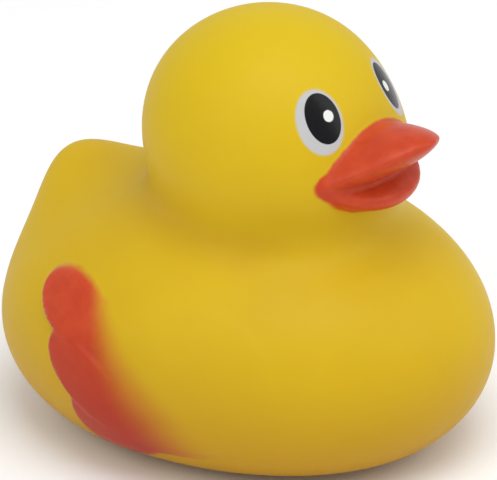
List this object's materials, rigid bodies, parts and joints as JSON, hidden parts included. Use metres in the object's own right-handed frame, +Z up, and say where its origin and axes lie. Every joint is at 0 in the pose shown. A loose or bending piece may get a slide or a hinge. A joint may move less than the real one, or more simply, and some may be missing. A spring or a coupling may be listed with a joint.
{
  "type": "rubber duck",
  "caption": "hollow soft vinyl bath duck with a round head, open two-lipped bill, printed eyes, low-relief wings sprayed orange and a flat base",
  "frame": {"origin": "on the flat base, under the middle of the duck's length and width", "axes": "+Z up through the head, the duck faces -Y with its tail towards +Y, +X is the duck's left side"},
  "size_m": [0.0814, 0.0952, 0.0811],
  "materials": {
    "vinyl_skin": "soft satin vinyl, yellow right through, with the bill and wing feathers sprayed orange-red"
  },
  "bodies": {
    "root": {"duck_body": "vinyl_skin"}
  },
  "joints": []
}
